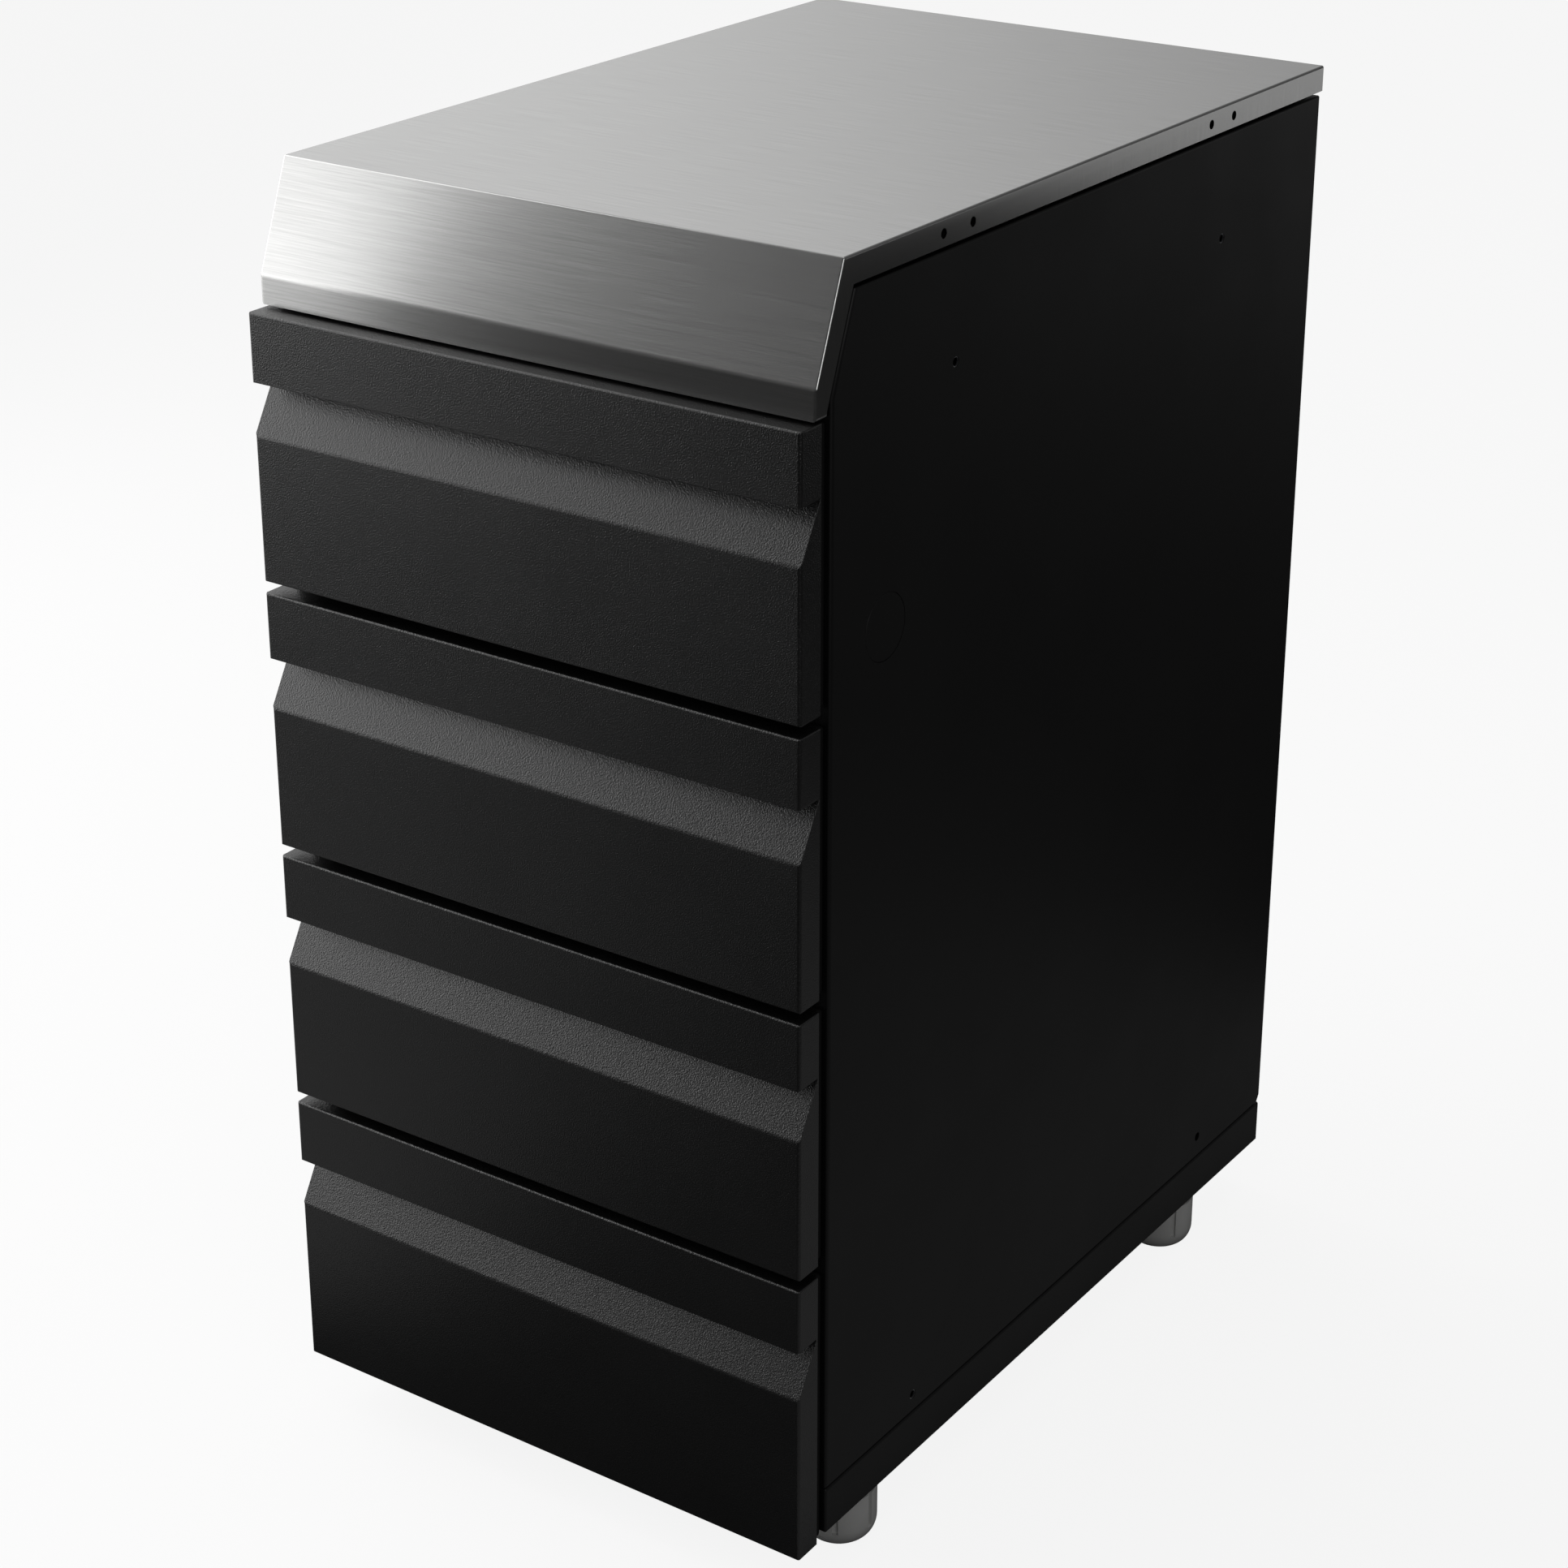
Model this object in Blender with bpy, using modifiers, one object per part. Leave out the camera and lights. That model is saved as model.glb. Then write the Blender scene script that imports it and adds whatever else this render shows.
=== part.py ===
"""Outdoor kitchen drawer cabinet: four drawers in a folded steel body under a stainless worktop.

Metres, +Z up. The origin is on the floor under the centre of the cabinet. The fronts face -Y.
"""

import math

import bmesh
import bpy
from mathutils import Matrix

# Overall size
WIDTH = 0.440
DEPTH = 0.672
HEIGHT = 0.938
FRONT_Y = -DEPTH / 2
BODY_BOTTOM = 0.045
BODY_TOP = HEIGHT - BODY_BOTTOM

# Clearance between pieces that touch
GAP = 0.0003

# Worktop: distances back from the drawer fronts and up from the bottom of the body
WORKTOP_SHEET = 0.0015
FOLD_BACK = 0.0435
APRON_BACK = 0.0148
SLOPE_BOTTOM = 0.819
APRON_BOTTOM = 0.799
FLANGE_BOTTOM = 0.8745
FLANGE_HOLE_RADIUS = 0.0033
FLANGE_HOLE_HEIGHT = 0.8830
FLANGE_HOLES_BACK = (0.153, 0.187, 0.500, 0.533)

# Side panels, liners, back panel and base
SHEET = 0.0012
PANEL_FRONT = 0.0311
PANEL_BACK = 0.669
PANEL_BOTTOM = 0.0357
PANEL_TOP = 0.8715
PANEL_DEPTH = 0.0194
PANEL_CORNER_BACK = 0.0556
PANEL_CORNER_BOTTOM = 0.8088
PANEL_HOLES = ((0.170, 0.797, 0.0042), (0.524, 0.797, 0.0036), (0.560, 0.054, 0.0036), (0.140, 0.050, 0.0040))
LINER_OUTER = 0.2003
LINER_INNER = 0.1993
CARRIER_TOP = BODY_TOP - WORKTOP_SHEET - GAP
COVER_BACK = 0.0925
COVER_HEIGHT = 0.6445
COVER_RADIUS = 0.0225
BASE_TOP = 0.0347
BASE_SHEET = 0.0015

# Levelling feet
FOOT_X = 0.191
FOOT_FRONT = 0.091
FOOT_REAR = 0.556
FOOT_RADIUS = 0.027
STEM_RADIUS = 0.005
NUT_RADIUS = 0.0098

# Drawer fronts, measured down from the top edge of each front
FRONT_WIDTH = 0.438
FRONT_THICKNESS = 0.0222
FRONT_TOPS = (0.797, 0.6005, 0.404, 0.2075)
FRONT_HEIGHTS = (0.1885, 0.1885, 0.1885, 0.2125)
LIP_HEIGHT = 0.048
LIP_HEM = 0.0042
RECESS_HEIGHT = 0.037

# Drawer boxes and runners
BOX_HALF_WIDTH = 0.1858
BOX_TOP = 0.026
BOX_HEIGHT = 0.145
BOX_REAR = 0.560
RUNNER_LENGTH = 0.500
RUNNER_DROP = 0.120
SCREW_X = 0.150
SCREW_DROPS = (0.100, 0.160)

BLACK = (0.012, 0.012, 0.013)
STEEL = (0.62, 0.62, 0.61)
ZINC = (0.55, 0.56, 0.58)
GREY = (0.19, 0.19, 0.185)


# ---------------------------------------------------------------- helpers


def clear_scene():
    for item in list(bpy.data.objects):
        bpy.data.objects.remove(item, do_unlink=True)


def new_collection(name):
    collection = bpy.data.collections.new(name)
    bpy.context.scene.collection.children.link(collection)
    return collection


def new_material(name, colour, roughness, metallic):
    found = bpy.data.materials.get(name)
    if found:
        return found
    material = bpy.data.materials.new(name)
    material.use_nodes = True
    shader = material.node_tree.nodes["Principled BSDF"]
    shader.inputs["Base Color"].default_value = (*colour, 1.0)
    shader.inputs["Roughness"].default_value = roughness
    shader.inputs["Metallic"].default_value = metallic
    return material


def powder_coat():
    return new_material("powder_coat", BLACK, 0.55, 0.0)


def panel_coat():
    return new_material("panel_coat", BLACK, 0.45, 0.0)


def stainless():
    return new_material("stainless", STEEL, 0.32, 1.0)


def zinc_plate():
    return new_material("zinc_plate", ZINC, 0.35, 1.0)


def seal_rubber():
    return new_material("seal_rubber", (0.01, 0.01, 0.01), 0.8, 0.0)


def foot_plastic():
    return new_material("foot_plastic", GREY, 0.5, 0.0)


def empty(name, location):
    guide = bpy.data.objects.new(name, None)
    guide.location = location
    guide.empty_display_size = 0.05
    PARTS.objects.link(guide)
    return guide


def part(name, mesh, material, parent=None):
    item = bpy.data.objects.new(name, mesh)
    mesh.materials.clear()
    mesh.materials.append(material)
    PARTS.objects.link(item)
    item.parent = parent
    return item


def cutter(name, mesh, parent=None):
    item = bpy.data.objects.new(name, mesh)
    item.display_type = "WIRE"
    item.hide_render = True
    CUTTERS.objects.link(item)
    item.parent = parent
    return item


def boolean(item, other, operation):
    modifier = item.modifiers.new(operation.lower(), "BOOLEAN")
    modifier.operation = operation
    modifier.solver = "EXACT"
    modifier.object = other


def cut(item, mesh):
    boolean(item, cutter("cut_" + item.name, mesh, item.parent), "DIFFERENCE")


def mesh_from(geometry, name):
    mesh = bpy.data.meshes.new(name)
    geometry.to_mesh(mesh)
    geometry.free()
    return mesh


def box(low, high, name="box"):
    """Box between two corners."""
    geometry = bmesh.new()
    size = [b - a for a, b in zip(low, high)]
    middle = [(a + b) / 2 for a, b in zip(low, high)]
    placing = Matrix.Translation(middle) @ Matrix.Diagonal((*size, 1.0))
    bmesh.ops.create_cube(geometry, size=1.0, matrix=placing)
    return mesh_from(geometry, name)


def rod(centre, radius, low, high, axis, segments=12, name="rod"):
    """Round bar along an axis; the centre gives the two other coordinates in X, Y, Z order."""
    geometry = bmesh.new()
    middle = (low + high) / 2
    if axis == "X":
        placing = Matrix.Translation((middle, *centre)) @ Matrix.Rotation(math.pi / 2, 4, "Y")
    elif axis == "Y":
        placing = Matrix.Translation((centre[0], middle, centre[1])) @ Matrix.Rotation(math.pi / 2, 4, "X")
    else:
        placing = Matrix.Translation((*centre, middle))
    bmesh.ops.create_cone(
        geometry,
        cap_ends=True,
        segments=segments,
        radius1=radius,
        radius2=radius,
        depth=high - low,
        matrix=placing,
    )
    return mesh_from(geometry, name)


def prism(outline, low, high, axis="X", name="prism"):
    """Flat outline pushed along X (outline in Y, Z) or along Y (outline in X, Z)."""
    curve = bpy.data.curves.new(name, "CURVE")
    curve.dimensions = "2D"
    curve.fill_mode = "BOTH"
    curve.extrude = (high - low) / 2
    spline = curve.splines.new("POLY")
    spline.points.add(len(outline) - 1)
    for point, (across, up) in zip(spline.points, outline):
        point.co = (across, up, 0.0, 1.0)
    spline.use_cyclic_u = True
    guide = bpy.data.objects.new(name, curve)
    bpy.context.scene.collection.objects.link(guide)
    depsgraph = bpy.context.evaluated_depsgraph_get()
    flat = bpy.data.meshes.new_from_object(guide.evaluated_get(depsgraph))
    bpy.data.objects.remove(guide, do_unlink=True)
    geometry = bmesh.new()
    geometry.from_mesh(flat)
    bmesh.ops.remove_doubles(geometry, verts=geometry.verts, dist=0.00001)
    bmesh.ops.dissolve_limit(geometry, angle_limit=0.01, verts=geometry.verts, edges=geometry.edges)
    if axis == "X":
        turn = Matrix(((0, 0, 1, 0), (1, 0, 0, 0), (0, 1, 0, 0), (0, 0, 0, 1)))
        move = Matrix.Translation(((low + high) / 2, 0, 0))
    else:
        turn = Matrix(((1, 0, 0, 0), (0, 0, -1, 0), (0, 1, 0, 0), (0, 0, 0, 1)))
        move = Matrix.Translation((0, (low + high) / 2, 0))
    geometry.transform(move @ turn)
    bmesh.ops.recalc_face_normals(geometry, faces=geometry.faces)
    return mesh_from(geometry, name)


def bevel_edges(mesh, wanted, width, segments=2):
    """Round the edges whose two end points both pass the test."""
    geometry = bmesh.new()
    geometry.from_mesh(mesh)
    edges = [edge for edge in geometry.edges if all(wanted(vertex.co) for vertex in edge.verts)]
    bmesh.ops.bevel(geometry, geom=edges, offset=width, segments=segments, profile=0.5, affect="EDGES")
    geometry.to_mesh(mesh)
    geometry.free()
    return mesh


def turned(name, profile, material, steps, parent=None):
    """Turned shape: the profile runs from the top of the axis, down the outside, to the bottom of the axis."""
    mesh = bpy.data.meshes.new(name)
    edges = [(index, index + 1) for index in range(len(profile) - 1)]
    mesh.from_pydata([(radius, 0.0, height) for radius, height in profile], edges, [])
    item = part(name, mesh, material, parent)
    screw = item.modifiers.new("turn", "SCREW")
    screw.axis = "Z"
    screw.steps = steps
    screw.render_steps = steps
    screw.use_merge_vertices = True
    screw.merge_threshold = 0.00001
    return item


def front(back, height):
    """Body coordinates to world: distance back from the fronts, height above the bottom of the body."""
    return FRONT_Y + back, BODY_BOTTOM + height


def body_outline(points):
    return [front(back, height) for back, height in points]


def body_box(half_or_low, high_x, back_low, back_high, low, high):
    y_low, z_low = front(back_low, low)
    y_high, z_high = front(back_high, high)
    return box((half_or_low, y_low, z_low), (high_x, y_high, z_high))


# ---------------------------------------------------------------- cabinet


def build_worktop():
    """Folded stainless top: flat sheet, sloping front, short upright apron and a flange down each side."""
    half = WIDTH / 2
    sheet = WORKTOP_SHEET
    outer = [
        (DEPTH, BODY_TOP),
        (FOLD_BACK, BODY_TOP),
        (APRON_BACK, SLOPE_BOTTOM),
        (APRON_BACK, APRON_BOTTOM),
        (0.0265, APRON_BOTTOM),
        (0.0305, 0.8155),
        (0.0535, FLANGE_BOTTOM),
        (DEPTH, FLANGE_BOTTOM),
    ]
    mesh = prism(body_outline(outer), -half, half)
    corner_y, corner_z = front(APRON_BACK, APRON_BOTTOM)
    bevel_edges(mesh, lambda p: p.y < corner_y + 0.03 and p.z > corner_z + 0.001, 0.0012)
    worktop = part("worktop", mesh, stainless())
    slope_shift = 0.0016
    inner = [
        (DEPTH - sheet, BODY_TOP - sheet),
        (FOLD_BACK + 0.0010, BODY_TOP - sheet),
        (APRON_BACK + slope_shift, SLOPE_BOTTOM - 0.0003),
        (APRON_BACK + sheet, APRON_BOTTOM + sheet),
        (0.0600, APRON_BOTTOM + sheet),
        (DEPTH - sheet, 0.8300),
    ]
    cut(worktop, prism(body_outline(inner), -half + sheet, half - sheet))
    for back in FLANGE_HOLES_BACK:
        cut(worktop, rod(front(back, FLANGE_HOLE_HEIGHT), FLANGE_HOLE_RADIUS, -half - 0.01, half + 0.01, "X", 16))
    return worktop


def panel_outline(inset):
    """Side panel outline with the top front corner cut parallel to the worktop's slope."""
    lean = inset * 0.66
    return [
        (PANEL_FRONT + inset, PANEL_BOTTOM + inset),
        (PANEL_FRONT + inset, PANEL_CORNER_BOTTOM - lean * 0.3),
        (PANEL_CORNER_BACK + lean, PANEL_TOP - inset),
        (PANEL_BACK - inset, PANEL_TOP - inset),
        (PANEL_BACK - inset, PANEL_BOTTOM + 0.006 + inset * 0.5),
        (PANEL_BACK - 0.004 - inset * 0.5, PANEL_BOTTOM + inset),
    ]


def build_side_panel(name, side):
    """Folded steel pan: an outer skin with a return flange all round, open towards the liner."""
    outer = side * WIDTH / 2
    inner = outer - side * PANEL_DEPTH
    low, high = sorted((outer, inner))
    mesh = prism(body_outline(panel_outline(0.0)), low, high)
    bevel_edges(mesh, lambda p: abs(p.x - outer) < 0.0001, 0.0020)
    panel = part(name, mesh, panel_coat())
    low, high = sorted((outer - side * SHEET, inner - side * 0.005))
    cut(panel, prism(body_outline(panel_outline(SHEET)), low, high))
    low, high = sorted((outer + side * 0.005, outer - side * 0.008))
    for back, height, radius in PANEL_HOLES:
        cut(panel, rod(front(back, height), radius, low, high, "X", 16))
    cut(panel, rod(front(COVER_BACK, COVER_HEIGHT), COVER_RADIUS + GAP, low, high, "X", 32))
    return panel


def build_hole_cover(name, side):
    """Round plug for the side panel's service hole: a flush disc with a wider flange behind the skin."""
    depth = SHEET + GAP
    profile = [
        (0.0, 0.0),
        (COVER_RADIUS, 0.0),
        (COVER_RADIUS, -depth),
        (COVER_RADIUS + 0.003, -depth),
        (COVER_RADIUS + 0.003, -depth - 0.001),
        (0.0, -depth - 0.001),
    ]
    cover = turned(name, profile, panel_coat(), 32)
    y, z = front(COVER_BACK, COVER_HEIGHT)
    cover.location = (side * WIDTH / 2, y, z)
    cover.rotation_euler = (0.0, side * math.pi / 2, 0.0)
    return cover


def build_side_liner(name, side):
    """Flat inner sheet that closes the side panel, and carries the runners and the worktop."""
    low, high = sorted((side * LINER_INNER, side * LINER_OUTER))
    outline = [(0.036, 0.040), (0.664, 0.040), (0.664, CARRIER_TOP), (0.050, CARRIER_TOP), (0.036, 0.856)]
    return part(name, prism(body_outline(outline), low, high), panel_coat())


def build_back_panel():
    """Folded pan between the side panels; it ends below the worktop's rear flange."""
    half = LINER_INNER - 0.0008
    panel = part("back_panel", body_box(-half, half, 0.6565, 0.6685, 0.040, PANEL_TOP), panel_coat())
    inner = half - SHEET
    cut(panel, body_box(-inner, inner, 0.640, 0.6685 - SHEET, 0.040 + SHEET, PANEL_TOP - SHEET))
    return panel


def build_base_tray():
    """Plinth tray under the cabinet, open underneath."""
    half = WIDTH / 2
    mesh = body_box(-half, half, PANEL_FRONT, PANEL_BACK, 0.0, BASE_TOP)
    middle_z = BODY_BOTTOM + BASE_TOP / 2
    bevel_edges(mesh, lambda p: p.z > middle_z, 0.0010)
    tray = part("base_tray", mesh, panel_coat())
    half -= BASE_SHEET
    back_low = PANEL_FRONT + BASE_SHEET
    back_high = PANEL_BACK - BASE_SHEET
    cut(tray, body_box(-half, half, back_low, back_high, -0.01, BASE_TOP - BASE_SHEET))
    return tray


def build_cross_member(name, back):
    """Flat bar across the base that holds two levelling feet."""
    half = WIDTH / 2 - BASE_SHEET - GAP
    bar = part(name, body_box(-half, half, back - 0.030, back + 0.030, 0.0015, 0.0040), zinc_plate())
    for side in (-1, 1):
        y, z = front(back, 0.0)
        cut(bar, rod((side * FOOT_X, y), STEM_RADIUS + 0.001, z - 0.01, z + 0.02, "Z", 16))
    return bar


def build_foot_nut(name, side, back):
    """Hexagon nut on a cross member, which the foot's stem screws into."""
    y, z = front(back, 0.0)
    centre = (side * FOOT_X, y)
    nut = part(name, rod(centre, NUT_RADIUS, z + 0.0043, z + 0.0133, "Z", 6), zinc_plate())
    cut(nut, rod(centre, STEM_RADIUS + GAP, z, z + 0.02, "Z", 16))
    return nut


def build_foot(name, side, back):
    """Moulded levelling foot: a tall rounded pad and a stem that screws into the base."""
    y, _ = front(back, 0.0)
    pad_top = BODY_BOTTOM - 0.0045
    profile = [
        (0.0, BODY_BOTTOM + 0.0315),
        (STEM_RADIUS - 0.001, BODY_BOTTOM + 0.0315),
        (STEM_RADIUS, BODY_BOTTOM + 0.0305),
        (STEM_RADIUS, pad_top),
        (FOOT_RADIUS - 0.002, pad_top),
        (FOOT_RADIUS, pad_top - 0.002),
        (FOOT_RADIUS, 0.0150),
        (FOOT_RADIUS - 0.0010, 0.0090),
        (FOOT_RADIUS - 0.0035, 0.0045),
        (FOOT_RADIUS - 0.0075, 0.0014),
        (FOOT_RADIUS - 0.0120, 0.0),
        (0.0, 0.0),
    ]
    foot = turned(name, profile, foot_plastic(), 32)
    foot.location = (side * FOOT_X, y, 0.0)
    return foot


def channel(back_low, back_high, low, high, sheet, opens_back):
    """C outline, open to the back or to the front."""
    if opens_back:
        web, lip = back_low, back_high
        inner = web + sheet
    else:
        web, lip = back_high, back_low
        inner = web - sheet
    return [
        (web, low),
        (lip, low),
        (lip, low + sheet),
        (inner, low + sheet),
        (inner, high - sheet),
        (lip, high - sheet),
        (lip, high),
        (web, high),
    ]


def build_rail(name, back_low, back_high, opens_back):
    """Channel across the top of the cabinet that carries the worktop."""
    outline = channel(back_low, back_high, CARRIER_TOP - 0.036, CARRIER_TOP, SHEET, opens_back)
    half = LINER_INNER - 0.0008
    return part(name, prism(body_outline(outline), -half, half), zinc_plate())


# ---------------------------------------------------------------- drawers


def front_outline(height):
    """Side view of a drawer front: lip, grip recess, slanted face and lower face."""
    return [
        (0.0, 0.0),
        (0.0, -LIP_HEIGHT),
        (FRONT_THICKNESS - SHEET, -LIP_HEIGHT),
        (0.0, -LIP_HEIGHT - RECESS_HEIGHT),
        (0.0, -height),
        (FRONT_THICKNESS, -height),
        (FRONT_THICKNESS, 0.0),
    ]


def build_drawer_front(number, height, slide):
    """Double-skinned front with closed ends, a finger space behind the lip and screw holes in its back."""
    half = FRONT_WIDTH / 2
    mesh = prism(front_outline(height), -half, half)
    bevel_edges(mesh, lambda p: abs(p.y) < 0.0001, 0.0008)
    item = part(f"drawer_front_{number}", mesh, powder_coat(), slide)
    back = FRONT_THICKNESS - SHEET
    finger_space = [
        (SHEET, -SHEET),
        (SHEET, -LIP_HEIGHT + SHEET),
        (LIP_HEM, -LIP_HEIGHT + SHEET),
        (LIP_HEM, -LIP_HEIGHT - 0.006),
        (back, -LIP_HEIGHT + 0.0001),
        (back, -SHEET),
    ]
    cut(item, prism(finger_space, -half + SHEET, half - SHEET))
    rise = RECESS_HEIGHT / back
    skin = SHEET * math.hypot(back, RECESS_HEIGHT) / back
    hollow = [
        (SHEET, -LIP_HEIGHT - skin - rise * (back - SHEET)),
        (SHEET, -height + SHEET),
        (back, -height + SHEET),
        (back, -LIP_HEIGHT - skin),
    ]
    cut(item, prism(hollow, -half + SHEET, half - SHEET))
    for x, drop in screw_spots():
        cut(item, rod((x, -drop), 0.0024, back - 0.004, FRONT_THICKNESS + 0.004, "Y", 12))
    return item


def screw_spots():
    return [(side * SCREW_X, drop) for side in (-1, 1) for drop in SCREW_DROPS]


def build_drawer_seal(number, height, slide):
    """Rubber frame between the front and the cabinet's edges."""
    half = FRONT_WIDTH / 2 - 0.003
    low = FRONT_THICKNESS + GAP
    high = PANEL_FRONT - 0.0005
    item = part(f"drawer_seal_{number}", box((-half, low, -height + 0.002), (half, high, -0.002)), seal_rubber(), slide)
    half -= 0.010
    cut(item, box((-half, low - 0.01, -height + 0.012), (half, high + 0.01, -0.012)))
    return item


def build_drawer_box(number, slide):
    """Open steel tray."""
    low = FRONT_THICKNESS + 0.0006
    half = BOX_HALF_WIDTH
    bottom = -BOX_TOP - BOX_HEIGHT
    item = part(f"drawer_box_{number}", box((-half, low, bottom), (half, BOX_REAR, -BOX_TOP)), zinc_plate(), slide)
    wall = SHEET
    inner = box((-half + wall, low + wall, bottom + wall), (half - wall, BOX_REAR - wall, -BOX_TOP + 0.02))
    cut(item, inner)
    for x, drop in screw_spots():
        cut(item, rod((x, -drop), 0.0024, low - 0.004, low + 0.004, "Y", 12))
    return item


def runner_outline(side, web, lip, half_height, sheet):
    """C section of one runner member; the web and lip are distances out from the middle of the cabinet."""
    inner = web - sheet if web > lip else web + sheet
    points = [
        (web, -half_height),
        (lip, -half_height),
        (lip, -half_height + sheet),
        (inner, -half_height + sheet),
        (inner, half_height - sheet),
        (lip, half_height - sheet),
        (lip, half_height),
        (web, half_height),
    ]
    return [(side * across, up) for across, up in points]


def build_runner(number, side, side_name, cabinet_frame, middle_frame, drawer_frame):
    """Telescopic runner: a member on the cabinet, a middle member and a member on the drawer."""
    members = (
        (f"runner_fixed_{number}_{side_name}", 0.1990, 0.1880, 0.0225, 0.0360, cabinet_frame),
        (f"runner_middle_{number}_{side_name}", 0.1964, 0.1892, 0.0192, 0.0370, middle_frame),
        (f"runner_inner_{number}_{side_name}", 0.1861, 0.1932, 0.0155, 0.0245, drawer_frame),
    )
    for name, web, lip, half_height, start, frame in members:
        outline = runner_outline(side, web, lip, half_height, 0.0012)
        mesh = prism(outline, start, start + RUNNER_LENGTH, "Y")
        mesh.transform(Matrix.Translation((0.0, 0.0, -RUNNER_DROP)))
        part(name, mesh, zinc_plate(), frame)


def build_drawer(number, top, height):
    y, z = front(0.0, top)
    cabinet_frame = empty(f"runner_line_{number}", (0.0, y, z))
    middle_frame = empty(f"middle_slide_{number}", (0.0, y, z))
    drawer_frame = empty(f"drawer_slide_{number}", (0.0, y, z))
    build_drawer_front(number, height, drawer_frame)
    build_drawer_seal(number, height, drawer_frame)
    build_drawer_box(number, drawer_frame)
    for side, side_name in ((-1, "left"), (1, "right")):
        build_runner(number, side, side_name, cabinet_frame, middle_frame, drawer_frame)


def build():
    build_worktop()
    for side, side_name in ((-1, "left"), (1, "right")):
        build_side_panel(f"side_panel_{side_name}", side)
        build_hole_cover(f"side_hole_cover_{side_name}", side)
        build_side_liner(f"side_liner_{side_name}", side)
        build_foot(f"foot_front_{side_name}", side, FOOT_FRONT)
        build_foot(f"foot_rear_{side_name}", side, FOOT_REAR)
        build_foot_nut(f"foot_nut_front_{side_name}", side, FOOT_FRONT)
        build_foot_nut(f"foot_nut_rear_{side_name}", side, FOOT_REAR)
    build_back_panel()
    build_base_tray()
    build_cross_member("base_cross_member_front", FOOT_FRONT)
    build_cross_member("base_cross_member_rear", FOOT_REAR)
    build_rail("front_rail", 0.050, 0.080, True)
    build_rail("rear_rail", 0.625, 0.655, False)
    for number, (top, height) in enumerate(zip(FRONT_TOPS, FRONT_HEIGHTS), start=1):
        build_drawer(number, top, height)


clear_scene()
PARTS = new_collection("drawer_cabinet")
CUTTERS = new_collection("cutters")
build()
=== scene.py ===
import math

import bmesh
import bpy
from mathutils import Matrix, Vector


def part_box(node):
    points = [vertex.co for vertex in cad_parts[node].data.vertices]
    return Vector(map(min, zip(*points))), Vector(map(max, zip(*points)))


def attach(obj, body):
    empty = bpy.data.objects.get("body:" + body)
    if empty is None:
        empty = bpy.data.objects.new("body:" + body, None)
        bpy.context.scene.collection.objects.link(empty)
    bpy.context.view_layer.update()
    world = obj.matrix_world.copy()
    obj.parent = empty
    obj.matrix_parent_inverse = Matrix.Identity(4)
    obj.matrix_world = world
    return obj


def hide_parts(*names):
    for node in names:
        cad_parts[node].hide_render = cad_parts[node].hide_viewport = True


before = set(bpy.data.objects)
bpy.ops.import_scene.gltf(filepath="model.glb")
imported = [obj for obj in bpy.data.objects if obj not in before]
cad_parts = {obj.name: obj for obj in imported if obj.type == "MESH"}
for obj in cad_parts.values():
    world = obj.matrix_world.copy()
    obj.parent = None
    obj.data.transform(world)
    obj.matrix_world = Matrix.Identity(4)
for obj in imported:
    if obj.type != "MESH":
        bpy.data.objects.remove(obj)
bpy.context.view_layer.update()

LEFT_RIGHT = ((-1, "left"), (1, "right"))
ENDS = ("front", "rear")
DRAWERS = (1, 2, 3, 4)
QUARTER = math.pi / 2

# All lengths are in metres.
MERGE = 0.000001  # points closer than this become one
CLOSE = 0.001  # an edge this near a plane counts as lying on it
ALONG = 0.9  # an edge runs along an axis when that part of its direction is over this
PAST = 0.001  # how far a cutter reaches past a surface that it cuts through
STEEL = 0.0012  # sheet of panels, fronts and boxes
THICK_STEEL = 0.0015  # sheet of the worktop and the base
FLOOR_LIGHT_HEIGHT = 0.004  # lights that stand for bright patches of floor
SHARP_ANGLE = math.radians(35)
NOISE_LOW, NOISE_HIGH = 0.3, 0.7  # the range that nearly all of a noise texture keeps to


# ---------------------------------------------------------------- mesh helpers


def mesh_from(geometry, name):
    mesh = bpy.data.meshes.new(name)
    geometry.to_mesh(mesh)
    geometry.free()
    return mesh


def outline_solid(outline, low, high, axis="X"):
    """Closed outline pushed along X (outline in Y, Z) or along Y (outline in X, Z)."""
    geometry = bmesh.new()
    if axis == "X":
        corners = [(low, across, up) for across, up in outline]
        push = Vector((high - low, 0.0, 0.0))
    else:
        corners = [(across, low, up) for across, up in outline]
        push = Vector((0.0, high - low, 0.0))
    face = geometry.faces.new([geometry.verts.new(corner) for corner in corners])
    pushed = bmesh.ops.extrude_face_region(geometry, geom=[face])
    moved = [item for item in pushed["geom"] if isinstance(item, bmesh.types.BMVert)]
    bmesh.ops.translate(geometry, verts=moved, vec=push)
    bmesh.ops.recalc_face_normals(geometry, faces=geometry.faces)
    return mesh_from(geometry, "solid")


def block(low, high):
    geometry = bmesh.new()
    size = [b - a for a, b in zip(low, high)]
    middle = [(a + b) / 2 for a, b in zip(low, high)]
    placing = Matrix.Translation(middle) @ Matrix.Diagonal((*size, 1.0))
    bmesh.ops.create_cube(geometry, size=1.0, matrix=placing)
    return mesh_from(geometry, "block")


def rod(centre, radius, length, segments=48):
    """Round bar along X."""
    geometry = bmesh.new()
    bmesh.ops.create_cone(
        geometry,
        cap_ends=True,
        segments=segments,
        radius1=radius,
        radius2=radius,
        depth=length,
        matrix=Matrix.Translation(centre) @ Matrix.Rotation(QUARTER, 4, "Y"),
    )
    return mesh_from(geometry, "rod")


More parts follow.
